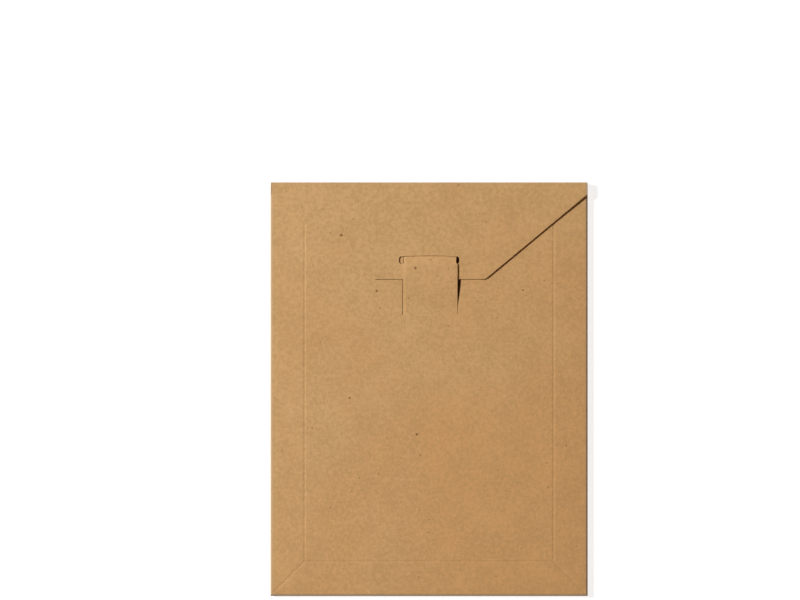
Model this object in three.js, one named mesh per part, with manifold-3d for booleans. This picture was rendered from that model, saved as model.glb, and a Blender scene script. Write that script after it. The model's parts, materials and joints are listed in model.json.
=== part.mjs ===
// Book mailer envelope of solid kraft board, closed and locked, lying on its back.
// Millimetres. +X is across, +Y is up towards the fold of the closure flap, +Z is up off the table.
// The origin is under the middle of the envelope, on the surface that it lies on.
// One blank makes it all: the back panel with the closure flap on top, folded up at the bottom
// into the front panel, whose side edges fold in and are glued to the inside of the back panel.
// Each panel between two creases is a piece of its own, because the panels turn about the creases.

import * as THREE from 'three';
import Module from 'manifold-3d';
import { mergeVertices } from 'three/addons/utils/BufferGeometryUtils.js';

const wasm = await Module();
wasm.setup();

// Overall size of the closed envelope
const envelope_width = 250;
const envelope_height = 326;
const board = 0.7;

// Pocket: the space between back and front panel at rest, and how far it opens
const pocket_gap = 4.2;
const pocket_travel = 15;

// Gusset strips along the sides and the bottom: from their crease to the middle of the outer fold
const gusset_reach = 25.2;
const crease_gap = 0.4;
const mitre_clearance = 0.3;
const back_inset = 1.4;
const bend_spare_turn = 12;
const bend_gap = 0.1;

// Side seams: the glue flap turned in from the front, and the line of glue that holds it
const glue_flap_width = 19.6;
const glue_flap_taper = 12;
const glue_flap_taper_slope = 0.5;
const glue_line_width = 12;
const glue_line_margin = 6;
const glue_thickness = 0.2;
const seat_clearance = 0.05;
const fold_clearance = 2.2;

// Front panel's free top edge, as drops below the envelope's top, and the notch in it
const top_edge_drop_at_sides = 2.7;
const top_edge_drop_at_notch = 5.7;
const notch_top_width = 101.8;
const notch_bottom_width = 66.8;
const notch_depth = 24.9;
const notch_rounding = 2;

// Closure flap
const flap_length = 76.3;
const flap_shoulder = 10.3;
const flap_tip_width = 88.3;
const flap_tip_rounding = 5;
const flap_shoulder_rounding = 3;
const lay_gap = 0.7;
const spine_crease = 0.55;
const spine_split = 0.3;

// Slot in the flap, with a bump on the side of the flap's tip
const slot_width = 47.5;
const slot_height = 5.8;
const slot_bow = 1.4;
const slot_bow_rounding = 16;
const slot_from_tip = 12;
const slot_end_rounding = 2;
const bump_width = 12;
const bump_floor_width = 8;
const bump_depth = 2.4;
const bump_rounding = 1;

// Locking tab, cut out of the front panel: it passes over the flap's tip and down into the slot
const tab_width = 43;
const tab_root_below_flap = 28.1;
const tab_past_slot = 21.6;
const tab_end_slant = 5.9;
const tab_left_rounding = 4;
const tab_right_rounding = 7;
const tab_crease = 0.4;
const tab_clearance = 0.15;
const tab_slope_before_slot = 0.3;
const tab_slope_past_slot = 2;
const slit = 0.8;

// Relief nick in the right side of the window, where the slot's right end lies over it
const nick_width = 2.2;
const nick_height = 5.4;
const nick_rounding = 0.6;

// Heights of the boards' middle planes
const back_z = board / 2;
const front_z = back_z + pocket_gap + board;
const flap_z = front_z + lay_gap + board;

// Tilt of the gusset strips. At the outer fold the middle planes of front and back strip stay
// seam_stack apart, so the panels' distance is 2 * reach * sin(tilt) + seam_stack * cos(tilt).
const seam_stack = 2 * board + glue_thickness + 2 * seat_clearance + fold_clearance;
const tiltAt = (rise) => Math.asin((front_z - back_z + rise) / Math.hypot(2 * gusset_reach, seam_stack))
  - Math.atan2(seam_stack, 2 * gusset_reach);
const rest_tilt = tiltAt(0);
const full_tilt = tiltAt(pocket_travel);

// Radii of the outer folds at the boards' middle plane: round the glue flap, and round the bottom
const side_fold_radius = (board + fold_clearance) / 2;
const bottom_fold_radius = seam_stack / 2;

// Places in plan
const top_y = envelope_height / 2;
const creaseInset = (fold_radius) => gusset_reach * Math.cos(rest_tilt)
  - fold_radius * Math.sin(rest_tilt) + fold_radius + board / 2;
const crease_x = envelope_width / 2 - creaseInset(side_fold_radius);
const crease_y = -envelope_height / 2 + creaseInset(bottom_fold_radius);
const spine_y = top_y - board / 2;
const flap_root_width = envelope_width - 2 * back_inset;
const flap_tip_y = top_y - flap_length;
const slot_near_y = flap_tip_y + slot_from_tip;
const slot_far_y = slot_near_y + slot_height;
const tab_root_y = flap_tip_y - tab_root_below_flap;
const tab_end_y = slot_far_y + tab_past_slot;

// Materials
const kraft = new THREE.MeshStandardMaterial({ color: 0xc39969, roughness: 0.88, metalness: 0 });
const kraft_inside = new THREE.MeshStandardMaterial({ color: 0xbe9b73, roughness: 0.9, metalness: 0 });
const dried_glue = new THREE.MeshStandardMaterial({ color: 0xd9cfae, roughness: 0.5, metalness: 0 });

function toManifold(geometry) {
  const plain = geometry.clone();
  plain.deleteAttribute('normal');
  plain.deleteAttribute('uv');
  const merged = mergeVertices(plain, 1e-5);
  return new wasm.Manifold(new wasm.Mesh({
    numProp: 3,
    vertProperties: new Float32Array(merged.attributes.position.array),
    triVerts: new Uint32Array(merged.index.array),
  }));
}

function fromManifold(solid) {
  const mesh = solid.getMesh();
  const geometry = new THREE.BufferGeometry();
  geometry.setAttribute('position', new THREE.BufferAttribute(new Float32Array(mesh.vertProperties), 3));
  geometry.setIndex(new THREE.BufferAttribute(new Uint32Array(mesh.triVerts), 1));
  geometry.computeVertexNormals();
  return geometry;
}

// Draws a closed outline through corners [x, y, rounding]: a rounding of 0 or none leaves it sharp
function outline(corners, path = new THREE.Shape()) {
  corners.forEach(([x, y, rounding = 0], i) => {
    const here = new THREE.Vector2(x, y);
    const before = new THREE.Vector2(...corners.at(i - 1));
    const after = new THREE.Vector2(...corners[(i + 1) % corners.length]);
    const from = here.clone().add(before.sub(here).setLength(rounding));
    const to = here.clone().add(after.sub(here).setLength(rounding));
    if (i === 0) {
      path.moveTo(from.x, from.y);
    } else {
      path.lineTo(from.x, from.y);
    }
    if (rounding > 0) {
      path.quadraticCurveTo(x, y, to.x, to.y);
    }
  });
  path.closePath();
  return path;
}

// A flat piece cut to an outline, its middle plane at z = 0
function plate(shape, thickness = board) {
  const geometry = new THREE.ExtrudeGeometry(shape, {
    depth: thickness, bevelEnabled: false, curveSegments: 6,
  });
  return geometry.translate(0, 0, -thickness / 2);
}

// A strip beside a crease that runs along the local Y axis. It reaches outwards along +X from
// inner to outer, and low(u) and high(u) give where its two ends lie at the distance u.
function strip(inner, outer, low, high, thickness = board) {
  const corners = [[inner, low(inner)], [outer, low(outer)], [outer, high(outer)], [inner, high(inner)]];
  return plate(outline(corners), thickness);
}

// The bend of an outer fold, from the end of a front strip down and round towards the back.
// It stops short of a half turn by the angle that the fold opens and some spare turn, so that it
// never meets the back.
function foldBend(radius, low, high) {
  const opening = 2 * (full_tilt - rest_tilt) + THREE.MathUtils.degToRad(bend_spare_turn);
  const end = -Math.PI / 2 + opening;
  const bend = new THREE.Shape();
  bend.moveTo(0, radius - board / 2);
  bend.absarc(0, 0, radius - board / 2, Math.PI / 2, end, true);
  bend.absarc(0, 0, radius + board / 2, end, Math.PI / 2, false);
  bend.closePath();
  const geometry = new THREE.ExtrudeGeometry(bend, {
    depth: high - low, bevelEnabled: false, curveSegments: 8,
  });
  return geometry.rotateX(Math.PI / 2).translate(gusset_reach, high, -radius);
}

function named(name, geometry, material) {
  const mesh = new THREE.Mesh(geometry, material);
  mesh.name = name;
  return mesh;
}

// A crease frame: its local Y runs along the crease, its local X outwards, at the height z
function creaseFrame(x, y, z, turn, tilt) {
  const frame = new THREE.Group();
  frame.position.set(x, y, z);
  frame.rotation.z = turn;
  const tilted = new THREE.Group();
  tilted.rotation.y = tilt;
  frame.add(tilted);
  return [frame, tilted];
}

// Where the strips' mitred ends may lie beyond the crease corner, clear of each other at full tilt
const mitre = (u) => u * Math.cos(full_tilt) - mitre_clearance;
const frontTopEdge = (x) => {
  const share = (Math.abs(x) - notch_top_width / 2) / (envelope_width / 2 - notch_top_width / 2);
  return top_y - top_edge_drop_at_notch + share * (top_edge_drop_at_notch - top_edge_drop_at_sides);
};

const mailer = new THREE.Group();

// Back panel
const back_top_y = spine_y - spine_crease;
const back_corners = [
  [-crease_x + crease_gap / 2, crease_y + crease_gap / 2],
  [crease_x - crease_gap / 2, crease_y + crease_gap / 2],
  [crease_x - crease_gap / 2, back_top_y],
  [-crease_x + crease_gap / 2, back_top_y],
];
const back_panel = named('back_panel', plate(outline(back_corners)), kraft);
back_panel.position.z = back_z;
mailer.add(back_panel);

// Side gussets, right and left. The left one is the right one turned half round, so its ends swap.
const back_outer = gusset_reach + side_fold_radius + board / 2 - back_inset;
const glue_flap_z = board + glue_thickness + 2 * seat_clearance;
const glue_z = board / 2 + seat_clearance + glue_thickness / 2;
const glue_flap_inner = gusset_reach - glue_flap_width;
const glue_inner = glue_flap_inner + (glue_flap_width - glue_line_width) / 2;
for (const [side, turn] of [['right', 0], ['left', Math.PI]]) {
  const span = (foot, head) => (side === 'right' ? [foot, head] : [(u) => -head(u), (u) => -foot(u)]);
  const foot = (u) => crease_y - mitre(u);
  const x = side === 'right' ? crease_x : -crease_x;

  const [back_frame, back_tilted] = creaseFrame(x, 0, back_z, turn, -rest_tilt);
  const back_strip = strip(crease_gap / 2, back_outer, ...span(foot, () => back_top_y));
  back_tilted.add(named(`back_${side}_gusset`, back_strip, kraft));

  // The ends of the glue flap taper away from the mitre and from the mouth of the pocket
  const taper = (u) => glue_flap_taper - glue_flap_taper_slope * (u - glue_flap_inner);
  const flap_foot = (u) => crease_y + taper(u);
  const flap_head = (u) => frontTopEdge(crease_x + u) - taper(u);
  const glue_flap = strip(glue_flap_inner, gusset_reach, ...span(flap_foot, flap_head));
  glue_flap.translate(0, 0, glue_flap_z);
  back_tilted.add(named(`${side}_glue_flap`, glue_flap, kraft_inside));

  const glue_foot = () => crease_y + glue_flap_taper + glue_line_margin;
  const glue_head = () => top_y - top_edge_drop_at_notch - glue_flap_taper - glue_line_margin;
  const glue_line = strip(glue_inner, glue_inner + glue_line_width, ...span(glue_foot, glue_head), glue_thickness);
  glue_line.translate(0, 0, glue_z);
  back_tilted.add(named(`${side}_glue_line`, glue_line, dried_glue));
  mailer.add(back_frame);

  const [front_frame, front_tilted] = creaseFrame(x, 0, front_z, turn, rest_tilt);
  const head = (u) => frontTopEdge(crease_x + u);
  const front_strip = strip(crease_gap / 2, gusset_reach - bend_gap, ...span(foot, head));
  const bend_foot = () => crease_y - mitre(gusset_reach) + seam_stack;
  const bend_ends = span(bend_foot, head).map((end) => end(gusset_reach));
  front_tilted.add(named(`front_${side}_gusset`, front_strip, kraft));
  front_tilted.add(named(`${side}_outer_fold`, foldBend(side_fold_radius, ...bend_ends), kraft));
  mailer.add(front_frame);
}

// Bottom gussets: here the blank itself folds up from the back to the front
const bottom_ends = [(u) => -crease_x - mitre(u), (u) => crease_x + mitre(u)];
const [back_bottom_frame, back_bottom_tilted] = creaseFrame(0, crease_y, back_z, -Math.PI / 2, -rest_tilt);
const back_bottom = strip(crease_gap / 2, gusset_reach, ...bottom_ends);
back_bottom_tilted.add(named('back_bottom_gusset', back_bottom, kraft));
mailer.add(back_bottom_frame);

const [front_bottom_frame, front_bottom_tilted] = creaseFrame(0, crease_y, front_z, -Math.PI / 2, rest_tilt);
const front_bottom = strip(crease_gap / 2, gusset_reach - bend_gap, ...bottom_ends);
const bottom_bend_end = crease_x + mitre(gusset_reach) - seam_stack;
const bottom_fold = foldBend(bottom_fold_radius, -bottom_bend_end, bottom_bend_end);
front_bottom_tilted.add(named('front_bottom_gusset', front_bottom, kraft));
front_bottom_tilted.add(named('bottom_outer_fold', bottom_fold, kraft));
mailer.add(front_bottom_frame);

// Corners of the locking tab from its root on, grown all round by a margin: 0 gives the tab, and
// the slit's width gives the window that it leaves in the front panel
function tabCorners(root_y, margin) {
  const half = tab_width / 2 + margin;
  return [
    [-half, tab_end_y + margin - tab_end_slant, tab_left_rounding],
    [-half, root_y],
    [half, root_y],
    [half, tab_end_y + margin, tab_right_rounding],
  ];
}

// Front panel, with the notch in its top edge and the window that the tab is cut from
const panel_x = crease_x - crease_gap / 2;
const notch_x = notch_top_width / 2;
const notch_floor_y = top_y - top_edge_drop_at_notch - notch_depth;
const front_corners = [
  [-panel_x, crease_y + crease_gap / 2],
  [panel_x, crease_y + crease_gap / 2],
  [panel_x, frontTopEdge(panel_x)],
  [notch_x, frontTopEdge(notch_x), notch_rounding],
  [notch_bottom_width / 2, notch_floor_y, notch_rounding],
  [-notch_bottom_width / 2, notch_floor_y, notch_rounding],
  [-notch_x, frontTopEdge(notch_x), notch_rounding],
  [-panel_x, frontTopEdge(panel_x)],
];
const nick_x = tab_width / 2 + slit;
const nick_top_y = slot_far_y + (nick_height - slot_height) / 2;
const nick_corners = [
  [nick_x, nick_top_y - nick_height],
  [nick_x + nick_width, nick_top_y - nick_height, nick_rounding],
  [nick_x + nick_width, nick_top_y, nick_rounding],
  [nick_x, nick_top_y],
];
const window_corners = tabCorners(tab_root_y, slit);
window_corners.splice(3, 0, ...nick_corners);
const front_shape = outline(front_corners);
front_shape.holes.push(outline(window_corners, new THREE.Path()));
const front_panel = named('front_panel', plate(front_shape), kraft);
front_panel.position.z = front_z;
mailer.add(front_panel);

// Spine over the pocket's mouth, in two halves: they draw apart as the pocket opens, where on the
// real mailer more of the flap's board rolls over the fold
const spine_foot = back_z + spine_crease;
const spine_head = flap_z - spine_crease;
const spine_half = (spine_head - spine_foot - spine_split) / 2;
for (const [name, z] of [['lower_spine', spine_foot], ['upper_spine', spine_head - spine_half]]) {
  const half = new THREE.BoxGeometry(flap_root_width, board, spine_half);
  half.translate(0, spine_y, z + spine_half / 2);
  mailer.add(named(name, half, kraft));
}

// Closure flap, with the slot for the tab
const flap_root_y = spine_y - spine_crease;
const flap_corners = [
  [-flap_root_width / 2, flap_root_y],
  [-flap_root_width / 2, top_y - flap_shoulder, flap_shoulder_rounding],
  [-flap_tip_width / 2, flap_tip_y, flap_tip_rounding],
  [flap_tip_width / 2, flap_tip_y, flap_tip_rounding],
  [flap_root_width / 2, top_y - flap_shoulder, flap_shoulder_rounding],
  [flap_root_width / 2, flap_root_y],
];
const flap_shape = outline(flap_corners);
const slot_corners = [
  [-slot_width / 2, slot_near_y, slot_end_rounding],
  [-bump_width / 2, slot_near_y],
  [-bump_floor_width / 2, slot_near_y - bump_depth, bump_rounding],
  [bump_floor_width / 2, slot_near_y - bump_depth, bump_rounding],
  [bump_width / 2, slot_near_y],
  [slot_width / 2, slot_near_y, slot_end_rounding],
  [slot_width / 2, slot_far_y, slot_end_rounding],
  [0, slot_far_y + 2 * slot_bow, slot_bow_rounding],
  [-slot_width / 2, slot_far_y, slot_end_rounding],
];
flap_shape.holes.push(outline(slot_corners, new THREE.Path()));
const closure_flap = named('closure_flap', plate(flap_shape), kraft);
closure_flap.position.z = flap_z;
mailer.add(closure_flap);

// Height of the tab's middle plane over the front panel's at y: it climbs from its root over the
// flap's tip, and goes down through the slot to lie level with the panel again, in its own window
const over_flap = 2 * board + lay_gap + tab_clearance;
const tabRise = (y) => {
  const climb = THREE.MathUtils.smoothstep(y, tab_root_y, flap_tip_y);
  const fall_start = slot_near_y - tab_slope_before_slot;
  const fall = THREE.MathUtils.smoothstep(y, fall_start, slot_far_y + tab_slope_past_slot);
  return over_flap * climb * (1 - fall);
};
const tab_start_y = tab_root_y + tab_crease;
const tab_steps = 48;
const slope_step = 0.01;
const upper_side = [];
const lower_side = [];
for (let i = 0; i <= tab_steps; i++) {
  const y = THREE.MathUtils.lerp(tab_start_y, tab_end_y, i / tab_steps);
  const slope = (tabRise(y + slope_step) - tabRise(y - slope_step)) / (2 * slope_step);
  const normal = new THREE.Vector2(-slope, 1).setLength(board / 2);
  upper_side.push([y + normal.x, tabRise(y) + normal.y]);
  lower_side.unshift([y - normal.x, tabRise(y) - normal.y]);
}
const tab_ribbon = new THREE.ExtrudeGeometry(outline([...upper_side, ...lower_side]), {
  depth: tab_width, bevelEnabled: false,
});
// The side view lies in the XY plane and is pushed along Z: this turn lays it along Y, across X
tab_ribbon.applyMatrix4(new THREE.Matrix4().set(
  0, 0, 1, -tab_width / 2,
  1, 0, 0, 0,
  0, 1, 0, 0,
  0, 0, 0, 1,
));
// The cutter trims the ribbon's far end to its slanted, rounded outline, and clears it all round
const tab_cutter = plate(outline(tabCorners(tab_root_y, 0)), 2 * (over_flap + 2 * board));
const tab_solid = toManifold(tab_ribbon).intersect(toManifold(tab_cutter));
const locking_tab = named('locking_tab', fromManifold(tab_solid), kraft);
locking_tab.position.z = front_z;
mailer.add(locking_tab);

export default mailer;
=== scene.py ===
import json
import math

import bmesh
import bpy
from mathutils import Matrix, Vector


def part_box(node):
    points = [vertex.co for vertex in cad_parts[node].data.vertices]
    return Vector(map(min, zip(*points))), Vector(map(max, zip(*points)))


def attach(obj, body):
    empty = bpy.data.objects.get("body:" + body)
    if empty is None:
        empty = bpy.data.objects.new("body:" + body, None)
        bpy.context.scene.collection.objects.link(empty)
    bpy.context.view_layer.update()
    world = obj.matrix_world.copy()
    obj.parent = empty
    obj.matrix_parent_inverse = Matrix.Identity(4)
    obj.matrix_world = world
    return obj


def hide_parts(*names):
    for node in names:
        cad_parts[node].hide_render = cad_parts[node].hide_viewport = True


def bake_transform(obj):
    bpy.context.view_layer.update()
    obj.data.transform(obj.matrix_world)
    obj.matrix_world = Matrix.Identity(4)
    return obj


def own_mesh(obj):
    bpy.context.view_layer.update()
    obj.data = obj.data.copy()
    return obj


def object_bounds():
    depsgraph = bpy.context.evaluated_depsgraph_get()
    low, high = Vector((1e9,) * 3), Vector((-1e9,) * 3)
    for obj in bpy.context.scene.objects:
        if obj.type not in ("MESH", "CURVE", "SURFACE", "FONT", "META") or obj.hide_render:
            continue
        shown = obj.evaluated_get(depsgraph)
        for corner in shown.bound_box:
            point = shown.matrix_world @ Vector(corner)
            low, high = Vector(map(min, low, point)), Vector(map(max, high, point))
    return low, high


# The looks of a book mailer envelope of solid kraft board, closed and locked, lying on its back.
# Metres. +X is across, +Y is up towards the fold of the closure flap, +Z is up off the table.

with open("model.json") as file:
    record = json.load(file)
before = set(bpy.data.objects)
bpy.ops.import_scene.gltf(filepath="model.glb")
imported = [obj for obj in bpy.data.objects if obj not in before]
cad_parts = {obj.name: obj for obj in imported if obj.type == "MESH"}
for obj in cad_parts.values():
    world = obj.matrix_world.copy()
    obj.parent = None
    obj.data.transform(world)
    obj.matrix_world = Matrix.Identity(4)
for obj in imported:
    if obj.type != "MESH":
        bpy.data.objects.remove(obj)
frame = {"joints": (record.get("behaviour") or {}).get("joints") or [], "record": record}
cad_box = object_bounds()

MM = 0.001
NEAR = 0.005 * MM
LIFT_STEP = 0.01 * MM
UP = Vector((0, 0, 1))

# Places that the frame gives
pivots = {joint["name"]: Vector(joint["pos_m"]) for joint in frame["joints"] if "pos_m" in joint}
CREASE_X = pivots["back_right_crease"].x
CREASE_Y = pivots["back_bottom_crease"].y
BACK_Z = pivots["back_right_crease"].z
FRONT_Z = pivots["front_right_crease"].z
SPINE_Y = pivots["flap_crease"].y
FLAP_Z = pivots["flap_crease"].z
TAB_ROOT_Y = pivots["tab_lift"].y
TOP_Y = cad_box[1].y
HALF_WIDTH = cad_box[1].x
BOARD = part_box("back_panel")[1].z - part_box("back_panel")[0].z
FLAP_TIP_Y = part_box("closure_flap")[0].y
SPINE_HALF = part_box("closure_flap")[1].x
TAB_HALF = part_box("locking_tab")[1].x
TAB_END_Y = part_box("locking_tab")[1].y
couplings = frame["record"]["behaviour"]["couplings"]
POCKET_TRAVEL = next(j["range_m"][1] for j in frame["joints"] if j["name"] == "pocket_expand")
POCKET_TURN = POCKET_TRAVEL * next(c["ratio"] for c in couplings if c["joint"] == "front_left_crease")

# Gusset strips: reach along the slope, stack at the outer fold, tilt at rest
GUSSET_REACH = 25.2 * MM
SEAM_STACK = 3.9 * MM
FOLD_CLEARANCE = 2.2 * MM
FOLD_TAIL = 0.3 * MM
TILT = (math.asin((FRONT_Z - BACK_Z) / math.hypot(2 * GUSSET_REACH, SEAM_STACK))
        - math.atan2(SEAM_STACK, 2 * GUSSET_REACH))
SIDE_FOLD = (BOARD + FOLD_CLEARANCE) / 2
BOTTOM_FOLD = SEAM_STACK / 2
BACK_INSET = 1.4 * MM
FOLD_STEPS = 16
BOTTOM_STRIP_SPARE = 1.2
SIDE_STRIP_SPARE = 1.1
SPINE_CLEARANCE = 0.05 * MM

# Scored creases: a groove pressed in from outside, which stands out as a bead inside
GROOVE_HALF = 1.4 * MM
GROOVE_DEPTH = 0.16 * MM
GROOVE_STEPS = 6
SUPPORT = 0.2 * MM
SEAM = 1.65 * MM
MITRE_FADE = 2.5 * MM
MITRE_STEPS = 4

# Front panel's free top edge and its notch
EDGE_DROP_AT_SIDES = 2.7 * MM
EDGE_DROP_AT_NOTCH = 5.7 * MM
NOTCH_TOP_HALF = 50.9 * MM
NOTCH_FLOOR_HALF = 33.4 * MM
NOTCH_DEPTH = 24.9 * MM
NOTCH_ROUNDING = 2 * MM

# Closure flap, its slot, and the spine that it turns on
FLAP_INSET = 0.3 * MM
FLAP_HALF = HALF_WIDTH - FLAP_INSET
FLAP_SHOULDER = 9.4 * MM
FLAP_TIP_HALF = 44.15 * MM
FLAP_TIP_ROUNDING = 5 * MM
FLAP_SHOULDER_ROUNDING = 1 * MM
SPINE_ROUNDING = 0.8 * MM
SPINE_STEPS = 8
SLOT_HALF = 23.75 * MM
SLOT_FROM_TIP = 12 * MM
SLOT_HEIGHT = 5.8 * MM
SLOT_BOW = 0.7 * MM
BOW_HALF_MM = 18
BOW_STEP_MM = 4
SLOT_END_ROUNDING = 2 * MM
BUMP_HALF = 6 * MM
BUMP_FLOOR_HALF = 4 * MM
BUMP_DEPTH = 2.4 * MM
BUMP_ROUNDING = 1 * MM
SLOT_NEAR_Y = FLAP_TIP_Y + SLOT_FROM_TIP
SLOT_FAR_Y = SLOT_NEAR_Y + SLOT_HEIGHT
FLAP_PRESSED = 0.4 * MM
FLAP_HELD_HALF = 32 * MM
FLAP_RELEASE = 16 * MM
FLAP_GRID = 9 * MM
WEB_INSET = 1.3 * MM
WEB_LOW = BACK_Z + WEB_INSET
WEB_HIGH = FLAP_Z - WEB_INSET
SPINE_INSIDE_Y = SPINE_Y - BOARD / 2

# Locking tab and the window that it leaves, a little to the right of the middle as they are punched
TAB_LEFT_SHIFT = 0.8 * MM
TAB_RIGHT_SHIFT = 0.9 * MM
TAB_LEFT_X = -TAB_HALF + TAB_LEFT_SHIFT
TAB_RIGHT_X = TAB_HALF + TAB_RIGHT_SHIFT
TAB_SAG = 0.28 * MM
TAB_SAG_WIDTH = 2.8 * MM
TAB_SAG_STEPS = 7
TAB_WEAR = 0.33 * MM
TAB_NECK = 1 * MM
TAB_END_SLANT = 5.9 * MM
TAB_LEFT_ROUNDING = 4 * MM
TAB_RIGHT_ROUNDING = 7 * MM
TAB_SEAM_BELOW_ROOT = 1.2 * MM
TAB_SEAM_Y = TAB_ROOT_Y - TAB_SEAM_BELOW_ROOT
TAB_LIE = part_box("locking_tab")[1].z - BOARD / 2 - FRONT_Z
TAB_SLOPE_MARGIN = 1.5 * MM
TAB_SLOPE_PAST = 1.7 * MM
TAB_LEAN = 0.1
TAB_STEPS = 44
LEFT_SLIT = 0.4 * MM
RIGHT_SLIT = 2.5 * MM
RIGHT_SLIT_AT_ROOT = 0.1 * MM
RIGHT_SLIT_LOW = 0.4 * MM
RIGHT_SLIT_LOW_RISE = 9 * MM
END_SLIT = 0.8 * MM
NICK_WIDTH = 1.2 * MM
NICK_HEIGHT = 5.4 * MM
NICK_ROUNDING = 0.6 * MM

# Side seams inside
GLUE_FLAP_INNER = 5.6 * MM
GLUE_FLAP_OUTER = 24 * MM
GLUE_FLAP_LIFT = 1 * MM
GLUE_FLAP_TAPER = 12 * MM
GLUE_FLAP_TAPER_SLOPE = 0.5
GLUE_LINE_LIFT = 0.5 * MM
GLUE_THICKNESS = 0.2 * MM
GLUE_HALF = 5.4 * MM
GLUE_LINE_FOOT = 20 * MM
GLUE_LINE_HEAD = 30 * MM
GLUE_LINE_STEPS = 40
GLUE_WAVE = 0.35 * MM
GLUE_WAVE_INSIDE = 0.2 * MM

# Worn edges, the grey band painted along the outline, and how finely corners are rounded
EDGE_WEAR = 0.08 * MM
EDGE_SEGMENTS = 2
WORN_ANGLE = math.radians(50)
SMOOTH_ANGLE = math.radians(20)
FLAT_ANGLE = math.radians(0.5)
CORNER_SEGMENTS = 6
OUTLINE_BAND = 2.6 * MM
OUTLINE_BAND_FULL = OUTLINE_BAND / 5
OUTLINE_BAND_AT_SPINE = 0.45


def start_plane(name, low, high, z):
    """Adds a plane over the rectangle between two corners in plan, and opens it in edit mode."""
    bpy.ops.object.select_all(action="DESELECT")
    middle = ((low[0] + high[0]) / 2, (low[1] + high[1]) / 2, z)
    bpy.ops.mesh.primitive_plane_add(size=1, location=middle)
    piece = bpy.context.object
    piece.name = piece.data.name = name
    piece.scale = (high[0] - low[0], high[1] - low[1], 1)
    bpy.ops.object.transform_apply(location=True, rotation=True, scale=True)
    for finish in (kraft_outside, kraft_inside, cut_edge):
        piece.data.materials.append(finish)
    bpy.ops.object.mode_set(mode="EDIT")
    return piece


def open_again(piece):
    """Makes a piece the only selected one, and opens it in edit mode."""
    bpy.ops.object.select_all(action="DESELECT")
    bpy.context.view_layer.objects.active = piece
    piece.select_set(True)
    bpy.ops.object.mode_set(mode="EDIT")


def close_edit():
    bpy.ops.object.mode_set(mode="OBJECT")


def pick(kind, test):
    """Selects what passes a test of its middle: the vertices, edges or faces of the piece in edit mode."""
    bpy.ops.mesh.select_mode(type=kind)
    bpy.ops.mesh.select_all(action="DESELECT")
    mesh = bmesh.from_edit_mesh(bpy.context.edit_object.data)
    for part in {"VERT": mesh.verts, "EDGE": mesh.edges, "FACE": mesh.faces}[kind]:
        if kind == "VERT":
            middle = part.co
        else:
            middle = sum((vertex.co for vertex in part.verts), Vector()) / len(part.verts)
        if test(middle):
            part.select_set(True)
    bmesh.update_edit_mesh(bpy.context.edit_object.data)


def draw_out(steps):
    """Extrudes the selected edges once for each step."""
    for step in steps:
        bpy.ops.mesh.extrude_edges_move(TRANSFORM_OT_translate={"value": step})


def bend(steps, angle, centre, axis):
    """Carries the selected edges on round a centre, in the usual sense about the axis."""
    bpy.ops.mesh.spin(steps=steps, angle=-angle, center=centre, axis=axis)


def cut(at, normal, fill):
    """Cuts off what lies past a plane, on the side that its normal points to."""
    bpy.ops.mesh.select_mode(type="VERT")
    bpy.ops.mesh.select_all(action="SELECT")
    bpy.ops.mesh.bisect(
        plane_co=at, plane_no=normal, use_fill=fill, clear_outer=True, threshold=1e-8)


def score(at, normal):
    """Adds an edge loop where a plane crosses the piece."""
    bpy.ops.mesh.select_mode(type="VERT")
    bpy.ops.mesh.select_all(action="SELECT")
    bpy.ops.mesh.bisect(plane_co=at, plane_no=normal, threshold=1e-8)


def apply_modifier(piece, kind, **settings):
    modifier = piece.modifiers.new(kind.lower(), kind)
    for name, value in settings.items():
        setattr(modifier, name, value)
    bpy.context.view_layer.objects.active = piece
    bpy.ops.object.modifier_apply(modifier=modifier.name)


def face_sheet(piece, way):
    """Turns an open sheet's normals one way, so that those of its largest face look that way."""
    bpy.ops.mesh.select_mode(type="FACE")
    bpy.ops.mesh.select_all(action="SELECT")
    bpy.ops.mesh.normals_make_consistent(inside=False)
    mesh = bmesh.from_edit_mesh(piece.data)
    if max(mesh.faces, key=lambda face: face.calc_area()).normal.dot(way) < 0:
        bpy.ops.mesh.flip_normals()


def lift_each(rule):
    """Moves every vertex of the piece in edit mode up by what a rule gives for its place."""
    lifts = {}
    for vertex in bmesh.from_edit_mesh(bpy.context.edit_object.data).verts:
        lifts.setdefault(round(rule(vertex.co) / LIFT_STEP), set()).add(vertex.index)
    bpy.ops.mesh.select_mode(type="VERT")
    for lift, indices in lifts.items():
        if lift == 0:
            continue
        bpy.ops.mesh.select_all(action="DESELECT")
        mesh = bmesh.from_edit_mesh(bpy.context.edit_object.data)
        for vertex in mesh.verts:
            if vertex.index in indices:
                vertex.select_set(True)
        bmesh.update_edit_mesh(bpy.context.edit_object.data)
        bpy.ops.transform.translate(value=(0, 0, lift * LIFT_STEP))


def make_board(piece, way, thickness=BOARD, wear=EDGE_WEAR):
    """Gives an open sheet the board's thickness about its middle plane, with slightly worn edges.
    way is where its outer side looks."""
    face_sheet(piece, way)
    close_edit()
    apply_modifier(piece, "SOLIDIFY", thickness=thickness, offset=0, use_even_offset=True,
                   material_offset=1, material_offset_rim=2)
    apply_modifier(piece, "BEVEL", width=wear, segments=EDGE_SEGMENTS, limit_method="ANGLE",
                   angle_limit=WORN_ANGLE)


def copy_piece(piece, name):
    """A copy with a mesh of its own."""
    twin = piece.copy()
    twin.data = piece.data.copy()
    twin.name = twin.data.name = name
    bpy.context.scene.collection.objects.link(twin)
    return twin


def finish_piece(piece, slot, *nodes):
    """Smooths the bends but not the cut edges, and hides the CAD parts of the nodes that it stands for.
    slot, the finish's name, is not used.
    """
    bpy.ops.object.select_all(action="DESELECT")
    bpy.context.view_layer.objects.active = piece
    piece.select_set(True)
    bpy.ops.object.shade_smooth_by_angle(angle=SMOOTH_ANGLE)
    if nodes:
        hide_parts(*nodes)


def smooth(share):
    """Rises softly from 0 to 1 as the share does."""
    share = min(1, max(0, share))
    return share * share * (3 - 2 * share)


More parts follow.
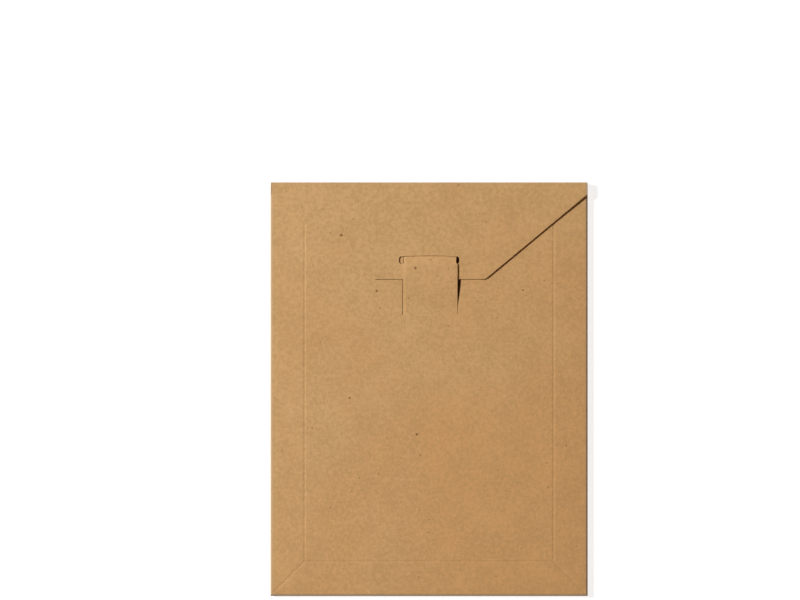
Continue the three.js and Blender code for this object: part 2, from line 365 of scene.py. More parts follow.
def front_edge_y(x):
    """The front panel's free top edge slopes up from the notch to the sides."""
    share = (abs(x) - NOTCH_TOP_HALF) / (HALF_WIDTH - NOTCH_TOP_HALF)
    return TOP_Y - EDGE_DROP_AT_NOTCH + share * (EDGE_DROP_AT_NOTCH - EDGE_DROP_AT_SIDES)


def tab_rise(y):
    """Height of the tab over the front panel: over the flap's tip, and down through the slot."""
    climb = smooth((y - TAB_ROOT_Y) / (FLAP_TIP_Y - TAB_ROOT_Y))
    low, high = SLOT_NEAR_Y - TAB_SLOPE_MARGIN, SLOT_FAR_Y + TAB_SLOPE_PAST
    return TAB_LIE * climb * (1 - smooth((y - low) / (high - low)))


# Materials

class Wire:
    """A socket that gives a number in a material: arithmetic on it adds the nodes."""

    def __init__(self, shader, socket):
        self.shader = shader
        self.socket = socket

    def _math(self, operation, *values):
        return self.shader.add("ShaderNodeMath", {"operation": operation}, dict(enumerate(values)))

    def __add__(self, other):
        return self._math("ADD", self, other)

    def __radd__(self, other):
        return self._math("ADD", other, self)

    def __sub__(self, other):
        return self._math("SUBTRACT", self, other)

    def __rsub__(self, other):
        return self._math("SUBTRACT", other, self)

    def __mul__(self, other):
        return self._math("MULTIPLY", self, other)

    def __rmul__(self, other):
        return self._math("MULTIPLY", other, self)

    def __lt__(self, other):
        return self._math("LESS_THAN", self, other)


class Shading:
    """The node tree of a material or of the world, built node by node."""

    def __init__(self, owner):
        owner.use_nodes = True
        self.tree = owner.node_tree

    def add(self, kind, settings=None, inputs=None, output=0):
        """Adds a node: its settings come first, then the values or wires of its sockets."""
        node = self.tree.nodes.new(kind)
        for name, value in (settings or {}).items():
            setattr(node, name, value)
        for name, value in (inputs or {}).items():
            self.feed(node.inputs[name], value)
        return Wire(self, node.outputs[output])

    def feed(self, socket, value):
        if isinstance(value, Wire):
            self.tree.links.new(value.socket, socket)
        elif isinstance(value, tuple) and len(value) == 3 and socket.type == "RGBA":
            socket.default_value = (*value, 1)
        else:
            socket.default_value = value

    def noise(self, place, scale, detail=2, roughness=0.5, distortion=0):
        return self.add("ShaderNodeTexNoise", {"noise_dimensions": "3D"}, {
            "Vector": place, "Scale": scale, "Detail": detail, "Roughness": roughness,
            "Distortion": distortion})

    def seen(self):
        """1 where the camera looks, straight, in a mirror or through glass, and 0 for other light."""
        return sum(self.add("ShaderNodeLightPath", output=ray) for ray in (
            "Is Camera Ray", "Is Glossy Ray", "Is Transmission Ray"))

    def split(self, place, axis):
        return self.add("ShaderNodeSeparateXYZ", {}, {0: place}, output=axis)

    def mix(self, share, first, second):
        return self.add("ShaderNodeMix", {"data_type": "RGBA"}, {
            "Factor": share, 6: first, 7: second}, output=2)

    def soften(self, value, low, high, to_low=0, to_high=1):
        """Carries a value from one range to another with a soft start and end."""
        return self.add("ShaderNodeMapRange", {"interpolation_type": "SMOOTHSTEP"}, {
            "Value": value, "From Min": low, "From Max": high, "To Min": to_low, "To Max": to_high})


class Finish(Shading):
    """A material with a Principled surface."""

    def __init__(self, name):
        self.material = bpy.data.materials.new(name)
        super().__init__(self.material)
        self.shader = self.tree.nodes["Principled BSDF"]
        self.output = self.tree.nodes["Material Output"]


def kraft(name, yellowish, pink_and_painted_shade, dark, outline_grey, speck_share):
    """Solid kraft board: mottled pulp with cloudy patches, fibres and a few dark specks of bark."""
    board = Finish(name)
    place = board.add("ShaderNodeTexCoord", output=3)
    # Painted shade: the tone turns redder and darker towards the lower right corner, away from the key
    # light, with random clouds of pulp in it
    clouds = board.noise(place, 9, detail=3, roughness=0.6)
    clouds_and_painted_falloff = clouds + 1.3 * (board.split(place, "X") - board.split(place, "Y"))
    tone = board.mix(board.soften(clouds_and_painted_falloff, 0.2, 0.8), yellowish, pink_and_painted_shade)

    mottle = board.noise(place, 330, detail=4, roughness=0.62)
    grain = board.noise(place, 760, detail=3, roughness=0.7)
    broad = board.noise(place, 60, detail=2)
    shade = 0.5 * mottle + 0.3 * grain + 0.2 * broad
    tone = board.mix(board.soften(shade, 0.62, 0.38, 0, 0.62), tone, dark)

    # A greyer, darker band painted along the envelope's outline, and fainter along the spine
    across, down = board.split(place, "X"), 0 - board.split(place, "Y")
    outline_band = (board.soften(across * across, (HALF_WIDTH - OUTLINE_BAND) ** 2, (HALF_WIDTH - OUTLINE_BAND_FULL) ** 2)
            + board.soften(down, TOP_Y - OUTLINE_BAND, TOP_Y - OUTLINE_BAND_FULL)
            + board.soften(down, OUTLINE_BAND - TOP_Y, OUTLINE_BAND_FULL - TOP_Y, 0, OUTLINE_BAND_AT_SPINE))
    tone = board.mix(outline_band * (0.5 + 0.7 * mottle), tone, outline_grey)

    # Fibres lie every way in the sheet: two stretched patterns across each other
    fibres = None
    for turn in (0.4, 2.1):
        along = board.add("ShaderNodeMapping", {}, {
            "Vector": place, "Rotation": (0, 0, turn), "Scale": (1, 0.14, 1)})
        strands = board.soften(board.noise(along, 1900, detail=1, distortion=0.6), 0.66, 0.76)
        fibres = strands if fibres is None else fibres + strands
    tone = board.mix(0.26 * fibres, tone, (0.74, 0.52, 0.31))

    # Specks of bark, many small and a few large: some cells of a scattered pattern hold one
    for scale, size, share, depth in ((130, 0.095, speck_share, 0.6), (36, 0.045, 0.7, 0.85)):
        cells = {"Vector": board.add("ShaderNodeVectorMath", {"operation": "ADD"}, {
            0: place, 1: (0.017, 0.009, 0.0043)}), "Scale": scale}
        distance = board.add("ShaderNodeTexVoronoi", {"voronoi_dimensions": "3D"}, cells)
        chance = board.add("ShaderNodeSeparateColor", {}, {0: board.add(
            "ShaderNodeTexVoronoi", {"voronoi_dimensions": "3D"}, cells, output=1)})
        ragged = distance + 0.6 * size * (mottle - 0.5)
        specks = board.soften(ragged, size, 0.55 * size) * (chance < share)
        tone = board.mix(depth * specks, tone, (0.14, 0.06, 0.02))

    board.feed(board.shader.inputs["Base Color"], tone)
    board.feed(board.shader.inputs["Roughness"], 0.8 + 0.12 * mottle)
    board.shader.inputs["Specular IOR Level"].default_value = 0.28
    relief = 0.55 * mottle + 0.45 * grain + 0.25 * fibres
    board.feed(board.shader.inputs["Normal"], board.add("ShaderNodeBump", {}, {
        "Strength": 0.32, "Distance": 0.00012, "Height": relief}))
    return board.material


def cut_board(name):
    """The die-cut edge of the board: pressed layers of pulp, greyer than its faces."""
    edge = Finish(name)
    place = edge.add("ShaderNodeTexCoord", output=3)
    layers = edge.add("ShaderNodeMapping", {}, {"Vector": place, "Scale": (1, 1, 16)})
    pulp = edge.noise(layers, 420, detail=3, roughness=0.6)
    tone = edge.mix(edge.soften(pulp, 0.35, 0.65), (0.42, 0.275, 0.165), (0.58, 0.40, 0.25))
    edge.feed(edge.shader.inputs["Base Color"], tone)
    edge.feed(edge.shader.inputs["Roughness"], 0.86 + 0.1 * pulp)
    edge.shader.inputs["Specular IOR Level"].default_value = 0.2
    edge.feed(edge.shader.inputs["Normal"], edge.add("ShaderNodeBump", {}, {
        "Strength": 0.5, "Distance": 0.00012, "Height": pulp}))
    return edge.material


def dried_glue(name):
    """A line of dried cold glue: pale, a little glossy, with soaked-in patches."""
    glue = Finish(name)
    place = glue.add("ShaderNodeTexCoord", output=3)
    soaked = glue.noise(place, 240, detail=3)
    tone = glue.mix(glue.soften(soaked, 0.35, 0.7), (0.66, 0.55, 0.38), (0.48, 0.34, 0.19))
    glue.feed(glue.shader.inputs["Base Color"], tone)
    glue.feed(glue.shader.inputs["Roughness"], 0.35 + 0.3 * soaked)
    glue.feed(glue.shader.inputs["Normal"], glue.add("ShaderNodeBump", {}, {
        "Strength": 0.4, "Distance": 0.0001, "Height": soaked}))
    return glue.material


kraft_outside = kraft(
    "kraft_outside", yellowish=(0.578, 0.346, 0.153), pink_and_painted_shade=(0.578, 0.308, 0.119),
    dark=(0.41, 0.235, 0.094), outline_grey=(0.41, 0.29, 0.185), speck_share=0.42)
kraft_inside = kraft(
    "kraft_inside", yellowish=(0.54, 0.345, 0.19), pink_and_painted_shade=(0.55, 0.32, 0.19),
    dark=(0.4, 0.25, 0.13), outline_grey=(0.41, 0.29, 0.185), speck_share=0.3)
cut_edge = cut_board("cut_edge")
glue_finish = dried_glue("dried_glue")


# Gusset strips

SIDES = {
    "right": (Vector((1, 0, 0)), Vector((CREASE_X, 0, 0))),
    "left": (Vector((-1, 0, 0)), Vector((-CREASE_X, 0, 0))),
    "bottom": (Vector((0, -1, 0)), Vector((0, CREASE_Y, 0))),
}


def gusset_sheet(name, side, z, climb):
    """A strip of board in its middle plane, over the crease's groove and out to the outer fold.
    climb is +1 where the strip rises outwards (at the back) and -1 where it falls (in front)."""
    out, crease = SIDES[side]
    inner = -SEAM - MM
    if side == "bottom":
        ends = Vector((-BOTTOM_STRIP_SPARE * HALF_WIDTH, BOTTOM_STRIP_SPARE * HALF_WIDTH, 0))
        low = (ends.x, CREASE_Y + GROOVE_HALF)
        high = (ends.y, CREASE_Y - inner)
    else:
        ends = Vector((-SIDE_STRIP_SPARE * TOP_Y, TOP_Y, 0))
        reach = sorted((crease.x + out.x * inner, crease.x - out.x * GROOVE_HALF))
        low = (reach[0], ends.x)
        high = (reach[1], ends.y)
    piece = start_plane(name, low, high, z)

    points = []
    for k in range(-GROOVE_STEPS, GROOVE_STEPS + 1):
        s = GROOVE_HALF * k / GROOVE_STEPS
        dip = GROOVE_DEPTH * (1 + math.cos(math.pi * s / GROOVE_HALF)) / 2
        slope = max(s, 0)
        points.append((min(s, 0) + slope * math.cos(TILT), slope * math.sin(TILT) + dip))
    end = GUSSET_REACH
    if climb > 0 and side != "bottom":
        end += SIDE_FOLD + BOARD / 2 - BACK_INSET
    for s in (GROOVE_HALF + SUPPORT, end - SUPPORT, end):
        points.append((s * math.cos(TILT), s * math.sin(TILT)))
    places = [out * u + UP * (climb * h) for u, h in points]
    edge_at = crease.dot(out) - GROOVE_HALF
    pick("EDGE", lambda middle: abs(middle.dot(out) - edge_at) < EDGE_WEAR)
    draw_out([after - before for before, after in zip(places, places[1:])])

    if climb < 0:
        radius = BOTTOM_FOLD if side == "bottom" else SIDE_FOLD
        fold_start = crease + UP * z + places[-1]
        centre = fold_start - (out * math.sin(TILT) + UP * math.cos(TILT)) * radius
        bend(FOLD_STEPS, math.pi - 2 * TILT, centre, UP.cross(out))
        if side != "bottom":
            draw_out([(-out * math.cos(TILT) - UP * math.sin(TILT)) * FOLD_TAIL])
    return piece


def press_mitre(corner, toward, climb):
    """Presses the mitre crease into a corner's edge. corner is the creases' corner, and toward the
    direction along the mitre in plan."""
    across = UP.cross(toward)
    middle_run = GUSSET_REACH * math.sqrt(2)
    run = [MITRE_FADE * k / MITRE_STEPS for k in range(1, MITRE_STEPS + 1)]
    run += [middle_run - MITRE_FADE * (1 - k / MITRE_STEPS) for k in range(MITRE_STEPS)]
    loops = [GROOVE_HALF * k / GROOVE_STEPS for k in range(1, GROOVE_STEPS + 1)]
    for s in run:
        score(corner + toward * s, toward)
    for d in loops:
        for side in (1, -1):
            score(corner + across * (d * side), across)

    def dip(vertex_place):
        place = vertex_place - corner
        s, d = place.dot(toward), abs(place.dot(across))
        fade = smooth(s / MITRE_FADE) * smooth((middle_run - s) / MITRE_FADE)
        return climb * GROOVE_DEPTH * fade * (1 + math.cos(math.pi * min(1, d / GROOVE_HALF))) / 2

    lift_each(dip)


def corner_signs(side):
    return (1, -1) if side == "bottom" else ({"right": 1, "left": -1}[side],)


def gusset(side, level):
    """One gusset strip, cut along the mitres, with a corner of its own at each mitred end."""
    climb = 1 if level == "back" else -1
    z = BACK_Z if level == "back" else FRONT_Z
    out, crease = SIDES[side]
    body = f"{level}_{side}_gusset"
    nodes = [body, f"{side}_outer_fold"] if level == "front" else [body]
    strip = gusset_sheet(f"{level}_{side}_strip", side, z, climb)
    if side != "bottom":
        if level == "front":
            rise = front_edge_y(HALF_WIDTH) - front_edge_y(CREASE_X)
            slope = rise / (HALF_WIDTH - CREASE_X)
            head = Vector((crease.x, front_edge_y(CREASE_X), 0))
            cut(head, Vector((-slope * out.x, 1, 0)).normalized(), fill=False)
        else:
            cut(Vector((0, SPINE_INSIDE_Y - SPINE_CLEARANCE, 0)), Vector((0, 1, 0)), fill=False)
    make_board(strip, UP * -climb)

    open_again(strip)
    cut(crease - out * SEAM, -out, fill=True)
    for sign in corner_signs(side):
        vertex = Vector((sign * CREASE_X, CREASE_Y, 0))
        past = Vector((sign, 1, 0)) if side == "bottom" else Vector((-sign, -1, 0))
        cut(vertex, past.normalized(), fill=True)
    if side == "bottom":
        limit = HALF_WIDTH if level == "front" else CREASE_X + (GUSSET_REACH - BACK_INSET + SIDE_FOLD)
        for sign in (1, -1):
            cut(Vector((sign * limit, 0, 0)), Vector((sign, 0, 0)), fill=True)
    close_edit()

    for sign in corner_signs(side):
        vertex = Vector((sign * CREASE_X, CREASE_Y, 0))
        end_name = {1: "right", -1: "left"}[sign]
        keep_out = Vector((-sign, 0, 0)) if side == "bottom" else Vector((0, 1, 0))
        corner = copy_piece(strip, f"{level}_{end_name}_{'foot' if side == 'bottom' else 'side'}_corner")
        open_again(corner)
        cut(vertex, keep_out, fill=True)
        press_mitre(vertex, Vector((sign, -1, 0)).normalized(), climb)
        close_edit()
        open_again(strip)
        cut(vertex, -keep_out, fill=True)
        close_edit()
        finish_piece(corner, "kraft_board", *nodes)
        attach(corner, body)
        joint = f"{level}_{side}_crease"
        limit = math.radians(next(j["range_deg"][1] for j in frame["joints"] if j["name"] == joint))
        keep = 1 - (1 - math.cos(TILT + POCKET_TURN) / math.cos(TILT)) * limit / POCKET_TURN
        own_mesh(corner)

    # The rim past the start of the outline's grey band rides on its own
    rim_start = out * ((TOP_Y if side == "bottom" else HALF_WIDTH) - OUTLINE_BAND)
    rim = copy_piece(strip, f"{level}_{side}_rim")
    open_again(rim)
    cut(rim_start, -out, fill=True)
    close_edit()
    finish_piece(rim, "kraft_board", *nodes)
    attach(rim, body)
    open_again(strip)
    cut(rim_start, out, fill=True)
    close_edit()

    finish_piece(strip, "kraft_board", *nodes)
    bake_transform(strip)


for side in SIDES:
    for level in ("back", "front"):
        gusset(side, level)


# Flat boards with an outline

def add_outline(corners, z):
    """Draws a closed outline of edges through corners (x, y, radius) in the piece in edit mode."""
    bpy.ops.mesh.select_mode(type="VERT")
    bpy.ops.mesh.select_all(action="DESELECT")
    places = [Vector((x, y, z)) for x, y, radius in corners]
    bpy.ops.mesh.primitive_plane_add(size=MM, location=places[0])
    bpy.ops.mesh.merge(type="CENTER")
    for before, after in zip(places, places[1:]):
        bpy.ops.mesh.extrude_vertices_move(TRANSFORM_OT_translate={"value": after - before})
    ends = (places[0], places[-1])
    pick("VERT", lambda place: min((place - end).length for end in ends) < NEAR)
    bpy.ops.mesh.edge_face_add()
    for k, (x, y, radius) in enumerate(corners):
        if radius:
            before, after = places[k - 1] - places[k], places[(k + 1) % len(places)] - places[k]
            round_corner(places[k], radius, before.angle(after))


def round_corner(place, radius, angle):
    """Rounds the corner of an outline at a place, where its two sides meet at an angle."""
    pick("VERT", lambda middle: (middle - place).length < NEAR)
    bpy.ops.mesh.bevel(offset=radius / math.tan(angle / 2), segments=CORNER_SEGMENTS, affect="VERTICES")


def start_outline(name, corners, holes, z):
    """A flat sheet with an outline and holes, in edit mode."""
    piece = start_plane(name, (0, 0), (MM, MM), z)
    bpy.ops.mesh.select_all(action="SELECT")
    bpy.ops.mesh.delete(type="VERT")
    for loop in (corners, *holes):
        add_outline(loop, z)
    bpy.ops.mesh.select_all(action="SELECT")
    bpy.ops.mesh.fill(use_beauty=True)
    bpy.ops.mesh.dissolve_limited(angle_limit=FLAT_ANGLE, use_dissolve_boundaries=False)
    return piece


def mirrored(right_half):
    """Corners of the right half and then the same of the left, the other way round."""
    return right_half + [(-x, y, radius) for x, y, radius in reversed(right_half)]


def front_panel():
    """The front panel with its notch and the window of the locking tab."""
    side = CREASE_X - SEAM
    floor_y = TOP_Y - EDGE_DROP_AT_NOTCH - NOTCH_DEPTH
    margin = 2 * MM
    corners = mirrored([
        (side + margin, CREASE_Y, 0),
        (side + margin, front_edge_y(side + margin), 0),
        (NOTCH_TOP_HALF, front_edge_y(NOTCH_TOP_HALF), NOTCH_ROUNDING),
        (NOTCH_FLOOR_HALF, floor_y, NOTCH_ROUNDING),
    ])
    left, right = TAB_LEFT_X - LEFT_SLIT, TAB_RIGHT_X + RIGHT_SLIT
    nick_top = SLOT_FAR_Y - (SLOT_HEIGHT - NICK_HEIGHT) / 2
    window = [
        (TAB_LEFT_X, TAB_SEAM_Y, 0),
        (TAB_RIGHT_X, TAB_SEAM_Y, 0),
        (TAB_RIGHT_X, TAB_ROOT_Y, 0),
        (TAB_RIGHT_X + RIGHT_SLIT_AT_ROOT, TAB_ROOT_Y, 0),
        (TAB_RIGHT_X + RIGHT_SLIT_LOW, TAB_ROOT_Y + RIGHT_SLIT_LOW_RISE, 0),
        (right, FLAP_TIP_Y, 0),
        (right, nick_top - NICK_HEIGHT, 0),
        (right + NICK_WIDTH, nick_top - NICK_HEIGHT, NICK_ROUNDING),
        (right + NICK_WIDTH, nick_top, NICK_ROUNDING),
        (right, nick_top, 0),
        (right, TAB_END_Y + END_SLIT, TAB_RIGHT_ROUNDING),
        (left + TAB_NECK, TAB_END_Y + END_SLIT - TAB_END_SLANT, TAB_LEFT_ROUNDING),
        (left + TAB_NECK, SLOT_NEAR_Y + MM, 0),
        (left, SLOT_NEAR_Y, 0),
        (left, TAB_ROOT_Y, 0),
        (TAB_LEFT_X, TAB_ROOT_Y, 0),
    ]
    piece = start_outline("front_panel_board", corners, [window], FRONT_Z)
    make_board(piece, UP)
    open_again(piece)
    for sign in (1, -1):
        cut(Vector((sign * side, 0, 0)), Vector((sign, 0, 0)), fill=True)
    cut(Vector((0, CREASE_Y + SEAM, 0)), Vector((0, -1, 0)), fill=True)
    close_edit()
    finish_piece(piece, "kraft_board", "front_panel")
    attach(piece, "front_panel")


def locking_tab():
    """The tab: one long tongue that climbs over the flap's tip and goes down through the slot."""
    start = TAB_SEAM_Y + SUPPORT
    piece = start_plane("locking_tab_board", (TAB_LEFT_X, TAB_SEAM_Y - MM), (TAB_RIGHT_X, start), FRONT_Z)
    flat = SLOT_FAR_Y + TAB_SLOPE_PAST
    ys = [start + (flat - start) * k / TAB_STEPS for k in range(TAB_STEPS + 1)]
    ys += [flat + SUPPORT, TAB_END_Y + MM]
    places = [Vector((0, y, tab_rise(y))) for y in ys]
    pick("EDGE", lambda middle: abs(middle.y - start) < EDGE_WEAR)
    draw_out([after - before for before, after in zip(places, places[1:])])
    for side, inward in ((TAB_LEFT_X, TAB_NECK), (TAB_RIGHT_X, -TAB_NECK)):
        pick("VERT", lambda place: place.y > SLOT_NEAR_Y and abs(place.x - side) < NEAR)
        bpy.ops.transform.translate(value=(inward, 0, 0))
    for k in range(1, TAB_SAG_STEPS + 1):
        score(Vector((TAB_LEFT_X + TAB_SAG_WIDTH * k / TAB_SAG_STEPS, 0, 0)), Vector((1, 0, 0)))

    # The tab stands off most on the right, and its left edge sags
    def lean(place):
        across = (place.x - TAB_LEFT_X) / (TAB_RIGHT_X - TAB_LEFT_X)
        free = smooth((place.y - TAB_ROOT_Y) / TAB_SAG_WIDTH)
        sag = TAB_SAG * free * (smooth((place.x - TAB_LEFT_X) / TAB_SAG_WIDTH) - 1)
        return sag - TAB_LEAN * (1 - across) * tab_rise(place.y)

    lift_each(lean)
    left = Vector((TAB_LEFT_X + TAB_NECK, TAB_END_Y - TAB_END_SLANT, FRONT_Z))
    right = Vector((TAB_RIGHT_X - TAB_NECK, TAB_END_Y, FRONT_Z))
    cut(right, UP.cross(right - left).normalized(), fill=False)
    slant_angle = math.atan2(TAB_END_SLANT, right.x - left.x)
    round_corner(left, TAB_LEFT_ROUNDING, math.pi / 2 + slant_angle)
    round_corner(right, TAB_RIGHT_ROUNDING, math.pi / 2 - slant_angle)
    make_board(piece, UP, wear=TAB_WEAR)
    open_again(piece)
    cut(Vector((0, TAB_SEAM_Y, 0)), Vector((0, -1, 0)), fill=True)
    close_edit()
    finish_piece(piece, "kraft_board", "locking_tab")
    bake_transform(piece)


def closure_flap():
    """The flap with its slot, and the bend of its fold at the top of the spine."""
    root_y = SPINE_Y - SPINE_ROUNDING - SUPPORT
    corners = mirrored([
        (FLAP_HALF, root_y, 0),
        (FLAP_HALF, TOP_Y - FLAP_SHOULDER, FLAP_SHOULDER_ROUNDING),
        (FLAP_TIP_HALF, FLAP_TIP_Y, FLAP_TIP_ROUNDING),
    ])
    across = [x * MM for x in range(BOW_HALF_MM, -BOW_HALF_MM - 1, -BOW_STEP_MM)]
    bow = [(x, SLOT_FAR_Y + SLOT_BOW * (1 - (x / SLOT_HALF) ** 2), 0) for x in across]
    slot = [
        (-SLOT_HALF, SLOT_NEAR_Y, SLOT_END_ROUNDING),
        (-BUMP_HALF, SLOT_NEAR_Y, 0),
        (-BUMP_FLOOR_HALF, SLOT_NEAR_Y - BUMP_DEPTH, BUMP_ROUNDING),
        (BUMP_FLOOR_HALF, SLOT_NEAR_Y - BUMP_DEPTH, BUMP_ROUNDING),
        (BUMP_HALF, SLOT_NEAR_Y, 0),
        (SLOT_HALF, SLOT_NEAR_Y, SLOT_END_ROUNDING),
        (SLOT_HALF, SLOT_FAR_Y, SLOT_END_ROUNDING),
        *bow,
        (-SLOT_HALF, SLOT_FAR_Y, SLOT_END_ROUNDING),
    ]
    piece = start_outline("closure_flap_board", corners, [slot], FLAP_Z)
    columns = math.floor(FLAP_HALF / FLAP_GRID)
    for k in range(-columns, columns + 1):
        score(Vector((k * FLAP_GRID, 0, 0)), Vector((1, 0, 0)))
    for k in range(1, math.floor((root_y - FLAP_TIP_Y) / FLAP_GRID) + 1):
        score(Vector((0, root_y - k * FLAP_GRID, 0)), Vector((0, 1, 0)))

    def press(place):
        held = 1 - smooth((abs(place.x) - FLAP_HELD_HALF) / FLAP_RELEASE)
        return -FLAP_PRESSED * held * smooth((root_y - place.y) / (root_y - SLOT_FAR_Y))

    lift_each(press)
    pick("EDGE", lambda middle: abs(middle.y - root_y) < EDGE_WEAR)
    draw_out([Vector((0, SUPPORT, 0))])
    centre = Vector((0, SPINE_Y - SPINE_ROUNDING, FLAP_Z - SPINE_ROUNDING))
    bend(SPINE_STEPS, math.pi / 2, centre, Vector((-1, 0, 0)))
    draw_out([Vector((0, 0, -SUPPORT)), Vector((0, 0, WEB_HIGH - MM - centre.z + SUPPORT))])
    make_board(piece, UP)
    open_again(piece)
    cut(Vector((0, 0, WEB_HIGH)), Vector((0, 0, -1)), fill=True)
    close_edit()
    finish_piece(piece, "kraft_board", "closure_flap", "upper_spine")
    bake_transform(piece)


def spine_web():
    """The upright part of the fold over the pocket's mouth, which grows as the pocket deepens."""
    piece = start_plane("spine_web", (-SPINE_HALF, SPINE_Y - MM), (SPINE_HALF, SPINE_Y), WEB_LOW - MM)
    pick("EDGE", lambda middle: abs(middle.y - SPINE_Y) < EDGE_WEAR)
    draw_out([Vector((0, 0, WEB_HIGH - WEB_LOW + 2 * MM))])
    pick("FACE", lambda middle: middle.y < SPINE_Y - EDGE_WEAR)
    bpy.ops.mesh.delete(type="FACE")
    make_board(piece, Vector((0, 1, 0)))
    open_again(piece)
    cut(Vector((0, 0, WEB_LOW)), Vector((0, 0, -1)), fill=True)
    cut(Vector((0, 0, WEB_HIGH)), Vector((0, 0, 1)), fill=True)
    close_edit()
    finish_piece(piece, "kraft_board", "lower_spine", "upper_spine")
    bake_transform(piece)


def back_panel():
    """The back panel with the bend at the foot of the spine, which is as wide as the flap."""
    root_y = SPINE_Y - SPINE_ROUNDING
    piece = start_plane("back_panel_board", (-SPINE_HALF, CREASE_Y), (SPINE_HALF, root_y - SUPPORT), BACK_Z)
    pick("EDGE", lambda middle: abs(middle.y - root_y + SUPPORT) < EDGE_WEAR)
    draw_out([Vector((0, SUPPORT, 0))])
    centre = Vector((0, root_y, BACK_Z + SPINE_ROUNDING))
    bend(SPINE_STEPS, math.pi / 2, centre, Vector((1, 0, 0)))
    draw_out([Vector((0, 0, SUPPORT)), Vector((0, 0, WEB_LOW + MM - centre.z - SUPPORT))])
    make_board(piece, -UP)
    open_again(piece)
    cut(Vector((0, CREASE_Y + SEAM, 0)), Vector((0, -1, 0)), fill=True)
    cut(Vector((0, 0, WEB_LOW)), Vector((0, 0, 1)), fill=True)
    close_edit()
    for sign in (1, -1):
        bpy.ops.object.select_all(action="DESELECT")
        inner = CREASE_X - SEAM
        bpy.ops.mesh.primitive_cube_add(
            size=1, location=(sign * (inner + HALF_WIDTH) / 2, 0, 0))
        block = bpy.context.object
        block.scale = (HALF_WIDTH - inner, 2 * SPINE_INSIDE_Y, 4 * MM)
        bpy.ops.object.transform_apply(location=True, rotation=True, scale=True)
        apply_modifier(piece, "BOOLEAN", operation="DIFFERENCE", object=block, solver="EXACT")
        bpy.data.objects.remove(block)
    finish_piece(piece, "kraft_board", "back_panel", "lower_spine")
    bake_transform(piece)


def tilted_into_gusset(piece, side):
    """Lays a flat piece, drawn at the back's height beside its crease, on the tilt of its back strip."""
    out, crease = SIDES[side]
    bpy.ops.mesh.select_all(action="SELECT")
    bpy.ops.transform.rotate(value=TILT * out.x, orient_axis="Y", orient_type="GLOBAL",
                             center_override=crease + UP * BACK_Z)


def glue_flap(side):
    """The glue flap, turned in from the front panel's side and glued to the back strip inside."""
    out, crease = SIDES[side]
    inner = crease.x + out.x * GLUE_FLAP_INNER
    outer = crease.x + out.x * GLUE_FLAP_OUTER
    taper = GLUE_FLAP_TAPER - GLUE_FLAP_TAPER_SLOPE * (GLUE_FLAP_OUTER - GLUE_FLAP_INNER)
    corners = [
        (inner, CREASE_Y + GLUE_FLAP_TAPER, NOTCH_ROUNDING),
        (outer, CREASE_Y + taper, NOTCH_ROUNDING),
        (outer, front_edge_y(outer) - taper, NOTCH_ROUNDING),
        (inner, front_edge_y(inner) - GLUE_FLAP_TAPER, NOTCH_ROUNDING),
    ]
    piece = start_outline(f"{side}_glue_flap_board", corners, [], BACK_Z + GLUE_FLAP_LIFT)
    tilted_into_gusset(piece, side)
    make_board(piece, -UP)
    finish_piece(piece, "kraft_inside", f"{side}_glue_flap")
    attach(piece, f"back_{side}_gusset")


def glue_line(side):
    """The line of glue under the glue flap, with an uneven squeezed-out edge."""
    out, crease = SIDES[side]
    middle = crease.x + out.x * (GLUE_FLAP_INNER + GLUE_FLAP_OUTER) / 2
    low = CREASE_Y + GLUE_LINE_FOOT
    high = TOP_Y - GLUE_LINE_HEAD
    right = []
    for k in range(GLUE_LINE_STEPS + 1):
        y = low + (high - low) * k / GLUE_LINE_STEPS
        wave = math.sin(1.7 * k) + 0.6 * math.sin(3.1 * k + 1)
        right.append((middle + GLUE_HALF + GLUE_WAVE * wave, y, 0))
    left = []
    for k, (x, y, _) in enumerate(right):
        left.append((x - 2 * GLUE_HALF - GLUE_WAVE_INSIDE * math.cos(2.3 * k), y, 0))
    piece = start_outline(f"{side}_glue_bead", right + left[::-1], [], BACK_Z + GLUE_LINE_LIFT)
    tilted_into_gusset(piece, side)
    make_board(piece, UP, GLUE_THICKNESS)
    piece.data.materials.clear()
    piece.data.materials.append(glue_finish)
    finish_piece(piece, "dried_glue", f"{side}_glue_line")
    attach(piece, f"back_{side}_gusset")


front_panel()
locking_tab()
closure_flap()
spine_web()
back_panel()
for side in ("left", "right"):
    glue_flap(side)
    glue_line(side)


# Floor, light and camera

VIEW_WIDTH = 0.63
VIEW_CENTRE = Vector((-22.9 * MM, 70.3 * MM, FRONT_Z))
ROOM_FILL = (0.15, 0.105, 0.075)
TABLE_FILL = (1, 0.94, 0.87)
LENS = 150
SENSOR = 36
CAMERA_REACH = 20
FLOOR_SIZE = 12
FLOOR_DROP = 0.02 * MM
FLOOR_TONE = (0.45, 0.45, 0.45, 1)
FLOOR_GLOW = 0.8
KEY_SIZE = 0.28
KEY_POWER = 236
KEY_COLOUR = (0.965, 1, 0.995)
KEY_AZIMUTH = math.radians(160)
KEY_ELEVATION = math.radians(38)
KEY_DISTANCE = 4.2


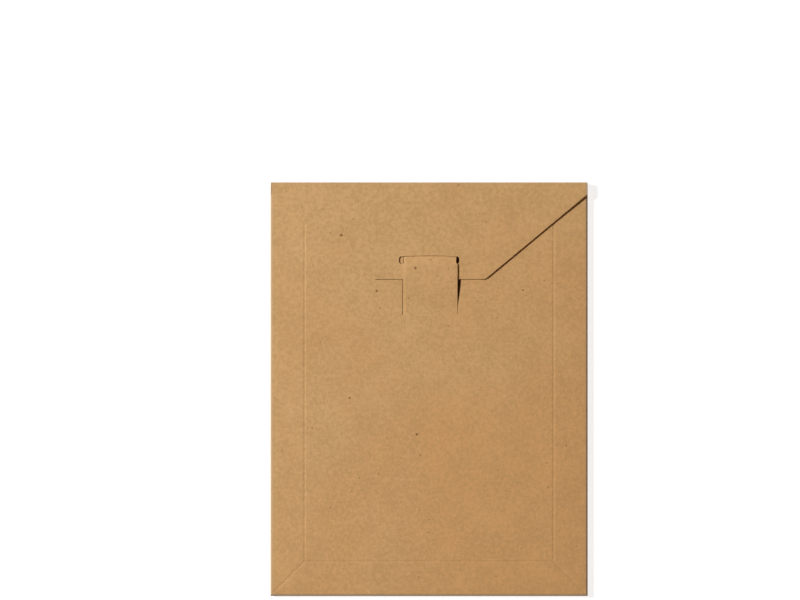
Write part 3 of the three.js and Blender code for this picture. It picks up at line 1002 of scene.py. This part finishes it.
def floor():
    """A plain pale floor: white where the camera sees it, but with the mailer's shadow."""
    bpy.ops.object.select_all(action="DESELECT")
    bpy.ops.mesh.primitive_plane_add(size=FLOOR_SIZE, location=(0, 0, -FLOOR_DROP))
    ground = bpy.context.object
    ground.name = "floor"
    finish = Finish("floor")
    finish.shader.inputs["Base Color"].default_value = FLOOR_TONE
    finish.shader.inputs["Roughness"].default_value = 0.9
    finish.shader.inputs["Emission Color"].default_value = (1, 1, 1, 1)
    finish.shader.inputs["Emission Strength"].default_value = FLOOR_GLOW
    below = finish.add("ShaderNodeNewGeometry", output="Backfacing")
    clear = finish.add("ShaderNodeBsdfTransparent")
    surface = Wire(finish, finish.shader.outputs[0])
    both = finish.add("ShaderNodeMixShader", {}, {0: finish.seen() * (1 - below), 1: clear, 2: surface})
    finish.feed(finish.output.inputs["Surface"], both)
    ground.data.materials.append(finish.material)


def light():
    """A soft key from the left and a little from the top, over an even warm fill."""
    lamp = bpy.data.lights.new("key", "AREA")
    lamp.shape = "DISK"
    lamp.size = KEY_SIZE
    lamp.energy = KEY_POWER
    lamp.color = KEY_COLOUR
    key = bpy.data.objects.new("key", lamp)
    bpy.context.scene.collection.objects.link(key)
    level = math.cos(KEY_ELEVATION)
    away = Vector((math.cos(KEY_AZIMUTH) * level, math.sin(KEY_AZIMUTH) * level, math.sin(KEY_ELEVATION)))
    key.location = away * KEY_DISTANCE
    key.rotation_mode = "QUATERNION"
    key.rotation_quaternion = away.to_track_quat("Z", "Y")


def room():
    """An even fill: dim and warm from above, and from below as bright as a pale table gives back."""
    world = bpy.data.worlds.new("room")
    bpy.context.scene.world = world
    air = Shading(world)
    way = air.add("ShaderNodeTexCoord", output="Generated")
    fill = air.mix(air.split(way, "Z") < 0, ROOM_FILL, TABLE_FILL)
    ambient = air.add("ShaderNodeBackground", {}, {"Color": fill, "Strength": 1})
    white = air.add("ShaderNodeBackground", {}, {"Color": (1, 1, 1), "Strength": 1})
    both = air.add("ShaderNodeMixShader", {}, {0: air.seen(), 1: ambient, 2: white})
    air.feed(air.tree.nodes["World Output"].inputs["Surface"], both)


def camera():
    lens = bpy.data.cameras.new("camera")
    lens.lens = LENS
    lens.sensor_width = SENSOR
    distance = LENS * VIEW_WIDTH / SENSOR
    eye = bpy.data.objects.new("camera", lens)
    bpy.context.scene.collection.objects.link(eye)
    eye.location = VIEW_CENTRE + UP * distance
    lens.clip_end = CAMERA_REACH
    bpy.context.scene.camera = eye


floor()
light()
room()
camera()
bpy.context.scene.view_settings.view_transform = "Standard"
